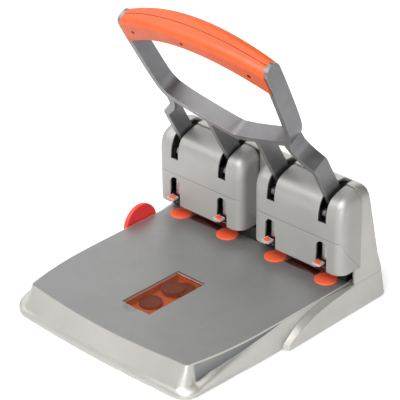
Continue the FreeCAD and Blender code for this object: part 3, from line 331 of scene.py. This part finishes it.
def rubber(name, rgb):
    """Dull rubber with paler specks."""
    p = Paint(name)
    base = srgb(*rgb)
    p.colour(p.mix(p.ramp(p.noise(scale=400.0), GRAIN_BAND), base, scaled(base, share=1.4)))
    p.roughness(p.noise(scale=200.0), least=0.75, most=0.9)
    p.bump(p.noise(scale=1500.0), strength=0.3, distance=0.1 * MM)
    return p.material


DEEP_IN = 12.0 * MM                    # painted shade darkens the covers and the lever this deep
GRIP_HOLE = 6.0 * MM                   # and painted shade darkens the grip in holes of this size

# How many times finer the tool marks are along each axis
DRAWN_X = (1, 20, 20)
TURNED_Z = (1, 1, 20)
ROLLED_Z = (1, 1, 8)

FINISHES = {
    # The shell carries the painted shade of the table's flanks
    "shell_plastic": painted_shell("shell_silver", (203, 201, 195), metallic=0.7, rough=0.44,
                                   flanks=True),
    "cover_plastic": painted_shell("cover_silver", (182, 181, 178), metallic=0.55, rough=0.48,
                                   inside=DEEP_IN),
    "plate_plastic": painted_shell("plate_grey", (158, 159, 158), metallic=0.7, rough=0.45),
    "tray_plastic": moulded("tray_black", (30, 31, 33), rough=0.6),
    "well_plastic": moulded("well_amber", (166, 78, 42), rough=0.6),
    "lid_plastic": clear_orange("lid_orange_clear"),
    "disc_plastic": moulded("disc_orange", (255, 104, 66), rough=0.4),
    "latch_plastic": moulded("latch_pale", (200, 183, 175), rough=0.4),
    "sleeve_steel": machined("sleeve_bright", (196, 198, 196), rough=0.24, stretch=TURNED_Z),
    "grip_plastic": moulded("grip_orange", (222, 92, 40), rough=0.48, coat=0.05, inside=GRIP_HOLE),
    "guide_plastic": moulded("guide_red_orange", (255, 66, 62), rough=0.4),
    "guide_bar_plastic": moulded("guide_bar_grey", (120, 122, 122), rough=0.5),
    "drawer_plastic": moulded("drawer_grey", (96, 98, 100), rough=0.5),
    "foot_rubber": rubber("foot_rubber_black", (36, 36, 37)),
    "handle_metal": cast_metal("handle_satin", (147, 146, 148), rough=0.36, inside=DEEP_IN),
    "bush_brass": machined("bush_brass", (190, 160, 90), rough=0.3),
    "shaft_steel": machined("shaft_steel", (170, 170, 172), rough=0.25, stretch=DRAWN_X),
    "frame_steel": machined("frame_dark_steel", (28, 29, 31), rough=0.5, stretch=ROLLED_Z,
                            metallic=0.6),
    "punch_steel": machined("punch_steel", (180, 181, 184), rough=0.22, stretch=TURNED_Z),
    "spring_steel": machined("spring_steel", (170, 171, 175), rough=0.28),
    "screw_steel": machined("screw_dark", (44, 42, 42), rough=0.5, metallic=0.8),
}

SCOOP_GREY = painted_shell("scoop_grey", (158, 159, 158), metallic=0.7, rough=0.45)
LATCH_PAD = moulded("latch_pad_orange", (236, 92, 60), rough=0.4)
# The orange backstop in dark red, as painted shade under the modules
BACKSTOP_PAINTED_SHADE = moulded("backstop_painted_shade", (120, 30, 18), rough=0.45)
# Dark red of the inlay, as painted shade under the modules
INLAY_PAINTED_SHADE = moulded("inlay_painted_shade", (78, 38, 34), rough=0.45)
# The orange spare discs painted near black, as painted shade under the lid
SPARE_DISC_PAINTED_SHADE = moulded("spare_disc_painted_shade", (24, 15, 15), rough=0.6)
# Punch heads and crank pins painted near black, as painted shade in the slots
HEAD_PAINTED_SHADE = machined("punch_head_painted_shade", (20, 21, 23), rough=0.5, stretch=ROLLED_Z,
                     metallic=0.5)
# Painted highlight: a paler casting colour for the lever's rounded edges
HANDLE_EDGE_HIGHLIGHT = cast_metal("handle_edge_painted_highlight", (220, 219, 217), rough=0.3, inside=DEEP_IN)
SEAM_DARK = moulded("seam_dark", (60, 44, 40), rough=0.7)

# Pieces that look different from the rest of their finish: darker, as painted shade
LOOKS = {
    "backstop": BACKSTOP_PAINTED_SHADE,
    "spare_discs": SPARE_DISC_PAINTED_SHADE,
    "punch_head": HEAD_PAINTED_SHADE,
    "crank_pins": HEAD_PAINTED_SHADE,
}


# ---------------------------------------------------------------------------
# Carried-over CAD nodes: softened edges and a finish
# ---------------------------------------------------------------------------
WORN_BY = {
    "shell_plastic": ("table_shell", "rear_body"),
    "cover_plastic": ("left_upper_cover", "right_upper_cover", "left_lower_cover",
                      "right_lower_cover"),
    "plate_plastic": ("table_plate",),
    "tray_plastic": ("base_tray", "throat_liner"),
    "well_plastic": ("accessory_tray",),
    "lid_plastic": ("accessory_lid",),
    "disc_plastic": ("cutting_disc", "spare_discs", "backstop"),
    "latch_plastic": ("latch",),
    "sleeve_steel": ("punch_sleeve",),
    "grip_plastic": ("grip_front", "grip_rear"),
    "guide_plastic": ("guide_disc",),
    "guide_bar_plastic": ("guide_bar",),
    "drawer_plastic": ("chip_drawer",),
    "foot_rubber": ("rubber_feet",),
    "handle_metal": ("lever_frame",),
    "bush_brass": ("lever_bushes",),
    "shaft_steel": ("main_shaft", "crank_pins", "shaft_clips", "lid_pin"),
    "frame_steel": ("left_frame", "right_frame", "anvil_plates"),
    "punch_steel": ("punch_pin", "punch_head"),
    "spring_steel": ("return_spring",),
    "screw_steel": ("frame_screws", "base_screws", "grip_screws"),
}

# Width of the softened edges, in millimetres
EDGE_MM = {
    "table_shell": 0.8,
    "table_plate": 0.4,
    "rear_body": 1.2,
    "left_upper_cover": 0.8,
    "right_upper_cover": 0.8,
    "left_lower_cover": 0.6,
    "right_lower_cover": 0.6,
    "lever_frame": 2.8,
    "grip_front": 0.4,
    "grip_rear": 0.4,
    "guide_disc": 0.3,
    "accessory_lid": 0.3,
    "base_tray": 0.5,
    "chip_drawer": 0.5,
    "left_frame": 0.3,
    "right_frame": 0.3,
}
EDGE_OTHERS_MM = 0.25
EDGE_STEPS = 2
LEVER_EDGE_STEPS = 3
EDGE_ANGLE = math.radians(32.0)        # sharper corners than this are softened
FLAT_ANGLE = math.radians(1.0)         # faces closer than this are merged
WELD_GAP = 0.01 * MM
NORMAL_WEIGHT = 80
FLAT_SIDED = ("table_plate", "accessory_lid", "backstop", "anvil_plates")


def family(node):
    """A node's name without its number."""
    return node.rstrip("1234").rstrip("_")


def finish_of(node):
    """The finish that a node wears, from its name or its family's."""
    for finish, names in WORN_BY.items():
        if node in names or family(node) in names:
            return finish
    raise KeyError(node)


def paint(obj, finish):
    """Gives a node the material of its look, or else of its finish."""
    obj.data.materials.clear()
    obj.data.materials.append(LOOKS.get(family(obj.name), FINISHES[finish]))


def soften(obj, width, steps, smooth):
    """Welds the tessellated faces, merges flats and rounds the sharp edges."""
    for face in obj.data.polygons:
        face.use_smooth = smooth
    weld = obj.modifiers.new("weld", "WELD")
    weld.merge_threshold = WELD_GAP
    dissolve = obj.modifiers.new("flats", "DECIMATE")
    dissolve.decimate_type = "DISSOLVE"
    dissolve.angle_limit = FLAT_ANGLE
    bevel = obj.modifiers.new("edges", "BEVEL")
    bevel.width = width
    bevel.segments = steps
    bevel.limit_method = "ANGLE"
    bevel.angle_limit = EDGE_ANGLE
    bevel.harden_normals = False
    bevel.miter_outer = "MITER_ARC"
    if smooth:
        normals = obj.modifiers.new("normals", "WEIGHTED_NORMAL")
        normals.keep_sharp = True
        normals.weight = NORMAL_WEIGHT


def dress_nodes():
    """Softens and paints every node; the springs stay sharp, as coils replace them."""
    for name, node in NODES.items():
        if family(name) != "return_spring":
            width = EDGE_MM.get(name, EDGE_OTHERS_MM) * MM
            steps = LEVER_EDGE_STEPS if name == "lever_frame" else EDGE_STEPS
            soften(node, width, steps, smooth=name not in FLAT_SIDED)
        paint(node, finish_of(name))


def paint_lever_edge_highlights():
    """Painted highlight: the lever's rounded edges are paler than its faces."""
    lever = NODES["lever_frame"]
    lever.data.materials.append(HANDLE_EDGE_HIGHLIGHT)
    lever.modifiers["edges"].material = len(lever.data.materials) - 1


dress_nodes()
paint_lever_edge_highlights()

# ---------------------------------------------------------------------------
# Building blocks for the scene's own pieces
# ---------------------------------------------------------------------------
CORNER_STEPS = 4
TUBE_SIDES = 8
PIECE_EDGE_STEPS = 2


def piece(name, bm, material, body, bevel=0.0):
    """Makes an object of a mesh, with one material, and lets it ride a body."""
    mesh = bpy.data.meshes.new(name)
    bmesh.ops.recalc_face_normals(bm, faces=bm.faces)
    bm.to_mesh(mesh)
    bm.free()
    for face in mesh.polygons:
        face.use_smooth = True
    mesh.materials.append(material)
    obj = bpy.data.objects.new(name, mesh)
    bpy.context.scene.collection.objects.link(obj)
    if bevel:
        edges = obj.modifiers.new("edges", "BEVEL")
        edges.width = bevel
        edges.segments = PIECE_EDGE_STEPS
        normals = obj.modifiers.new("normals", "WEIGHTED_NORMAL")
        normals.keep_sharp = True
    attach(obj, body)
    return obj


def strip(bm, row, next_row, closed):
    """Four-sided faces between two rows of points."""
    count = len(row)
    for i in range(count if closed else count - 1):
        after = (i + 1) % count
        bm.faces.new((row[i], row[after], next_row[after], next_row[i]))


def extruded(bm, outline, z0, z1):
    """Closes an outline of (x, y) points between two heights."""
    low = [bm.verts.new((x, y, z0)) for x, y in outline]
    high = [bm.verts.new((x, y, z1)) for x, y in outline]
    bm.faces.new(low)
    bm.faces.new(high)
    strip(bm, low, high, closed=True)


def rounded(x0, x1, y0, y1, radius):
    """Outline of a rectangle with rounded corners."""
    outline = []
    corners = ((x1 - radius, y1 - radius, 0), (x0 + radius, y1 - radius, 90),
               (x0 + radius, y0 + radius, 180), (x1 - radius, y0 + radius, 270))
    for centre_x, centre_y, start in corners:
        for i in range(CORNER_STEPS + 1):
            angle = math.radians(start + 90.0 * i / CORNER_STEPS)
            outline.append((centre_x + radius * math.cos(angle),
                            centre_y + radius * math.sin(angle)))
    return outline


def tube(bm, points, radius):
    """Closed tube along a list of points."""
    rings = []
    for i, point in enumerate(points):
        ahead = points[min(i + 1, len(points) - 1)] - points[max(i - 1, 0)]
        side = ahead.cross(Vector((0.0, 0.0, 1.0))).normalized()
        up = side.cross(ahead).normalized()
        ring = []
        for k in range(TUBE_SIDES):
            angle = 2.0 * math.pi * k / TUBE_SIDES
            ring.append(bm.verts.new(point + radius * (math.cos(angle) * side
                                                       + math.sin(angle) * up)))
        rings.append(ring)
    for ring, next_ring in zip(rings, rings[1:]):
        strip(bm, ring, next_ring, closed=True)
    bm.faces.new(rings[0])
    bm.faces.new(rings[-1])


# ---------------------------------------------------------------------------
# Latch pads: an orange insert in the dish of each pale latch
# ---------------------------------------------------------------------------
LATCH_SPAN = 16.7 * MM                 # the latch from its tongue to its right edge
PAD_FROM_RIGHT, PAD_LONG = 1.7 * MM, 8.1 * MM
PAD_FROM_FRONT, PAD_DEEP = 1.6 * MM, 7.0 * MM
PAD_SINK, PAD_PROUD = 0.7 * MM, 0.5 * MM
PAD_CORNER, PAD_EDGE = 1.2 * MM, 0.3 * MM


def latch_pads():
    """One pad in each latch, riding it."""
    for number in STATIONS:
        latch = "latch_%d" % number
        low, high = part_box(latch)
        right = low.x + LATCH_SPAN - PAD_FROM_RIGHT
        front = low.y + PAD_FROM_FRONT
        bm = bmesh.new()
        extruded(bm, rounded(right - PAD_LONG, right, front, front + PAD_DEEP, PAD_CORNER),
                 high.z - PAD_SINK, high.z + PAD_PROUD)
        piece("latch_pad_%d" % number, bm, LATCH_PAD, latch, bevel=PAD_EDGE)


latch_pads()

# ---------------------------------------------------------------------------
# Thumb scoop in front of the lid: a shallow dish in the plate's round recess
# ---------------------------------------------------------------------------
SCOOP_X, SCOOP_R = -4.5 * MM, 9.7 * MM
SCOOP_AHEAD = 1.5 * MM                 # its centre lies this far in front of the lid
SCOOP_DEEP = 1.7 * MM
SCOOP_SKIN = 0.05 * MM
SCOOP_RINGS, SCOOP_SPOKES = 6, 28


def scoop():
    """The front half of a round dish, open towards the lid."""
    low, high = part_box("accessory_lid")
    centre_y = low.y - SCOOP_AHEAD
    bm = bmesh.new()
    rings = []
    for i in range(1, SCOOP_RINGS + 1):
        share = i / SCOOP_RINGS
        z = high.z - SCOOP_DEEP * (1.0 - share ** 2) - SCOOP_SKIN
        ring = []
        for k in range(SCOOP_SPOKES + 1):
            angle = math.pi + math.pi * k / SCOOP_SPOKES
            ring.append(bm.verts.new((SCOOP_X + SCOOP_R * share * math.cos(angle),
                                      centre_y + SCOOP_R * share * math.sin(angle), z)))
        rings.append(ring)
    for ring, next_ring in zip(rings, rings[1:]):
        strip(bm, ring, next_ring, closed=False)
    middle = bm.verts.new((SCOOP_X, centre_y, high.z - SCOOP_DEEP - SCOOP_SKIN))
    for start, end in zip(rings[0], rings[0][1:]):
        bm.faces.new((start, end, middle))
    dish = piece("scoop_dish", bm, SCOOP_GREY, "base")
    wall = dish.modifiers.new("wall", "SOLIDIFY")
    wall.thickness = SCOOP_SKIN


scoop()

# ---------------------------------------------------------------------------
# Return springs: coils round the punches, in place of the solid model's springs
# ---------------------------------------------------------------------------
SPRING_WIRE = 1.2 * MM
SPRING_TURNS, STEPS_A_TURN = 9, 20


def helix(middle, radius, foot, height):
    """Points of a coil that climbs from its foot."""
    steps = SPRING_TURNS * STEPS_A_TURN
    points = []
    for i in range(steps + 1):
        angle = 2.0 * math.pi * i / STEPS_A_TURN
        points.append(Vector((middle.x + radius * math.cos(angle),
                              middle.y + radius * math.sin(angle), foot + height * i / steps)))
    return points


def springs():
    """One coil round each punch, which replaces the solid model's spring."""
    for number in STATIONS:
        node = "return_spring_%d" % number
        low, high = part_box(node)
        middle = (low + high) / 2.0
        tall = high.z - low.z
        radius = (high.x - low.x - SPRING_WIRE) / 2.0
        bm = bmesh.new()
        tube(bm, helix(middle, radius, low.z + SPRING_WIRE / 2.0, tall - SPRING_WIRE),
             SPRING_WIRE / 2.0)
        coil = piece("spring_coil_%d" % number, bm, FINISHES["spring_steel"],
                     "base")
        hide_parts(node)
        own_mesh(coil)


springs()

# ---------------------------------------------------------------------------
# Inlay in the table between the discs of each module, dark red as painted shade under the modules
# ---------------------------------------------------------------------------
INLAY_FRONT, INLAY_BACK = 93.8 * MM, 107.4 * MM
INLAY_CLEAR = 2.2 * MM
INLAY_CORNER = 1.5 * MM
INLAY_THICK, INLAY_PROUD = 0.2 * MM, 0.05 * MM


def inlays():
    """One strip on each side, as a single piece."""
    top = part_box("table_plate")[1].z
    bm = bmesh.new()
    for left, right in MODULES:
        x0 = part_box("cutting_disc_%d" % left)[1].x + INLAY_CLEAR
        x1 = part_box("cutting_disc_%d" % right)[0].x - INLAY_CLEAR
        extruded(bm, rounded(x0, x1, INLAY_FRONT, INLAY_BACK, INLAY_CORNER),
                 top - INLAY_THICK, top + INLAY_PROUD)
    piece("inlay_strips", bm, INLAY_PAINTED_SHADE, "base")


inlays()

# ---------------------------------------------------------------------------
# Seam between the two grip shells, along the crest of the grip
# ---------------------------------------------------------------------------
LOOP_LEAN = math.radians(28.49)
LOOP_FOOT = Vector((0.0, 48.65, 230.4)) * MM
GRIP_HALF = 111.6 * MM
GRIP_CROWN = 142.4 * MM                # the crest's height at the middle of the grip
GRIP_BOW = 0.530                       # it drops by x squared over this, in metres
SEAM_FORWARD = -10.5 * MM
SEAM_RADIUS = 0.35 * MM
SEAM_STEPS = 48


def on_loop(x, up, forward):
    """A point given in the plane of the lever's loop."""
    lean, rise = math.sin(LOOP_LEAN), math.cos(LOOP_LEAN)
    return LOOP_FOOT + Vector((x, -up * lean - forward * rise, up * rise - forward * lean))


def grip_seam():
    """A thin dark line that follows the grip's crest."""
    points = []
    for i in range(SEAM_STEPS + 1):
        x = GRIP_HALF * (2.0 * i / SEAM_STEPS - 1.0)
        points.append(on_loop(x, GRIP_CROWN - x * x / GRIP_BOW, SEAM_FORWARD))
    bm = bmesh.new()
    tube(bm, points, SEAM_RADIUS)
    piece("grip_seam", bm, SEAM_DARK, "lever")


grip_seam()

# ---------------------------------------------------------------------------
# Studio
# ---------------------------------------------------------------------------
SKY_LOW, SKY_HIGH = 0.10, 0.42         # sine of the heights between which the sky dims
SKY_BRIGHT, SKY_DIM = 0.061, 0.0285    # and its strength below and above them
FLOOR_REACH = 14.0
FLOOR_PALE = (0.74, 0.74, 0.74, 1.0)
FLOOR_LIFT = 0.55                      # the floor's own glow, as the camera sees it
FLOOR_GLOSS_LIFT = 0.25                # and as reflections show it


def brighter(tree, first, second):
    """The larger of two values."""
    node = tree.nodes.new("ShaderNodeMath")
    node.operation = "MAXIMUM"
    tree.links.new(first, node.inputs[0])
    tree.links.new(second, node.inputs[1])
    return node.outputs[0]


def world():
    """A dim studio sky, brightest near the horizon; the camera sees it as plain white."""
    studio = bpy.data.worlds.new("studio")
    studio.use_nodes = True
    tree = studio.node_tree
    coords = tree.nodes.new("ShaderNodeTexCoord")
    split = tree.nodes.new("ShaderNodeSeparateXYZ")
    tree.links.new(coords.outputs["Generated"], split.inputs["Vector"])
    level = tree.nodes.new("ShaderNodeMapRange")
    level.interpolation_type = "SMOOTHSTEP"
    level.inputs["From Min"].default_value = SKY_LOW
    level.inputs["From Max"].default_value = SKY_HIGH
    level.inputs["To Min"].default_value = SKY_BRIGHT
    level.inputs["To Max"].default_value = SKY_DIM
    tree.links.new(split.outputs["Z"], level.inputs["Value"])
    path = tree.nodes.new("ShaderNodeLightPath")
    sky = tree.nodes["Background"]
    sky.inputs["Color"].default_value = WHITE
    tree.links.new(brighter(tree, level.outputs["Result"], path.outputs["Is Camera Ray"]),
                   sky.inputs["Strength"])
    bpy.context.scene.world = studio


def floor_glow(tree):
    """The floor's own glow: full for the camera and through clear parts, less in reflections."""
    path = tree.nodes.new("ShaderNodeLightPath")
    glows = []
    for kind, glow in (("Is Camera Ray", FLOOR_LIFT), ("Is Transmission Ray", FLOOR_LIFT),
                       ("Is Glossy Ray", FLOOR_GLOSS_LIFT)):
        share = tree.nodes.new("ShaderNodeMapRange")
        share.inputs["To Max"].default_value = glow
        tree.links.new(path.outputs[kind], share.inputs["Value"])
        glows.append(share.outputs["Result"])
    seen, through, mirrored = glows
    return brighter(tree, brighter(tree, seen, through), mirrored)


def floor():
    """A wide pale floor that the camera sees as nearly white."""
    mesh = bpy.data.meshes.new("floor")
    bm = bmesh.new()
    bm.faces.new([bm.verts.new((x * FLOOR_REACH, y * FLOOR_REACH, 0.0))
                  for x, y in ((-1, -1), (1, -1), (1, 1), (-1, 1))])
    bm.to_mesh(mesh)
    bm.free()
    obj = bpy.data.objects.new("floor", mesh)
    bpy.context.scene.collection.objects.link(obj)
    pale = bpy.data.materials.new("floor_pale")
    pale.use_nodes = True
    shader = pale.node_tree.nodes["Principled BSDF"]
    shader.inputs["Base Color"].default_value = FLOOR_PALE
    shader.inputs["Roughness"].default_value = 1.0
    shader.inputs["Specular IOR Level"].default_value = 0.0
    shader.inputs["Emission Color"].default_value = WHITE
    pale.node_tree.links.new(floor_glow(pale.node_tree), shader.inputs["Emission Strength"])
    mesh.materials.append(pale)


def camera():
    """The camera, turned, tilted down and rolled."""
    data = bpy.data.cameras.new("camera")
    data.sensor_width = SENSOR_MM
    data.lens = FOCAL_PX / IMAGE_PX * SENSOR_MM
    data.clip_end = CAM_FAR
    obj = bpy.data.objects.new("camera", data)
    cos_turn, sin_turn = math.cos(CAM_AZIMUTH), math.sin(CAM_AZIMUTH)
    cos_down, sin_down = math.cos(CAM_DOWN), math.sin(CAM_DOWN)
    cos_roll, sin_roll = math.cos(CAM_ROLL), math.sin(CAM_ROLL)
    right = Vector((cos_turn, sin_turn, 0.0))
    ahead = Vector((-sin_turn * cos_down, cos_turn * cos_down, -sin_down))
    up = right.cross(ahead)
    side = cos_roll * right + sin_roll * up
    top = -sin_roll * right + cos_roll * up
    rows = [[side[i], top[i], -ahead[i], CAM_PLACE[i]] for i in range(3)]
    obj.matrix_world = Matrix(rows + [[0.0, 0.0, 0.0, 1.0]])
    bpy.context.scene.collection.objects.link(obj)
    bpy.context.scene.camera = obj


# Lamps: azimuth and height in degrees seen from the object, with azimuth 0 in front of it
# and 90 on its right, then distance and size in metres, and power in watts
LAMPS = {
    "key_front": (24, 47, 2.5, 2.1, 42.0),
    "fill_front": (-50, 34, 2.6, 1.8, 16.0),
    "fill_left": (-99, 26, 2.4, 1.2, 4.5),
    "strip_corner": (44, 5, 1.9, 0.30, 6.0),
    "edge_left": (-84, 52, 2.4, 0.8, 6.5),
    "fill_right": (103, 17, 2.6, 1.6, 8.0),
    "back_left": (-136, 28, 2.6, 1.8, 9.0),
    "top_soft": (-9, 66, 2.3, 1.4, 28.0),
    "rim_back": (-156, 8, 2.2, 0.9, 4.0),
}
LIT_POINT = Vector((0.0, 0.0, 0.12))   # all lamps face this point


def around(azimuth, height, distance):
    """A place round the object."""
    turn, rise = math.radians(azimuth), math.radians(height)
    return Vector((distance * math.sin(turn) * math.cos(rise),
                   -distance * math.cos(turn) * math.cos(rise), distance * math.sin(rise)))


def lamps():
    """The round soft lamps of the studio."""
    for name, (azimuth, height, distance, size, power) in LAMPS.items():
        data = bpy.data.lights.new(name, "AREA")
        data.shape = "DISK"
        data.size = size
        data.energy = power
        obj = bpy.data.objects.new(name, data)
        obj.location = around(azimuth, height, distance)
        obj.rotation_euler = (LIT_POINT - obj.location).to_track_quat("-Z", "Y").to_euler()
        bpy.context.scene.collection.objects.link(obj)


world()
floor()
camera()
lamps()
bpy.context.scene.view_settings.view_transform = "Standard"
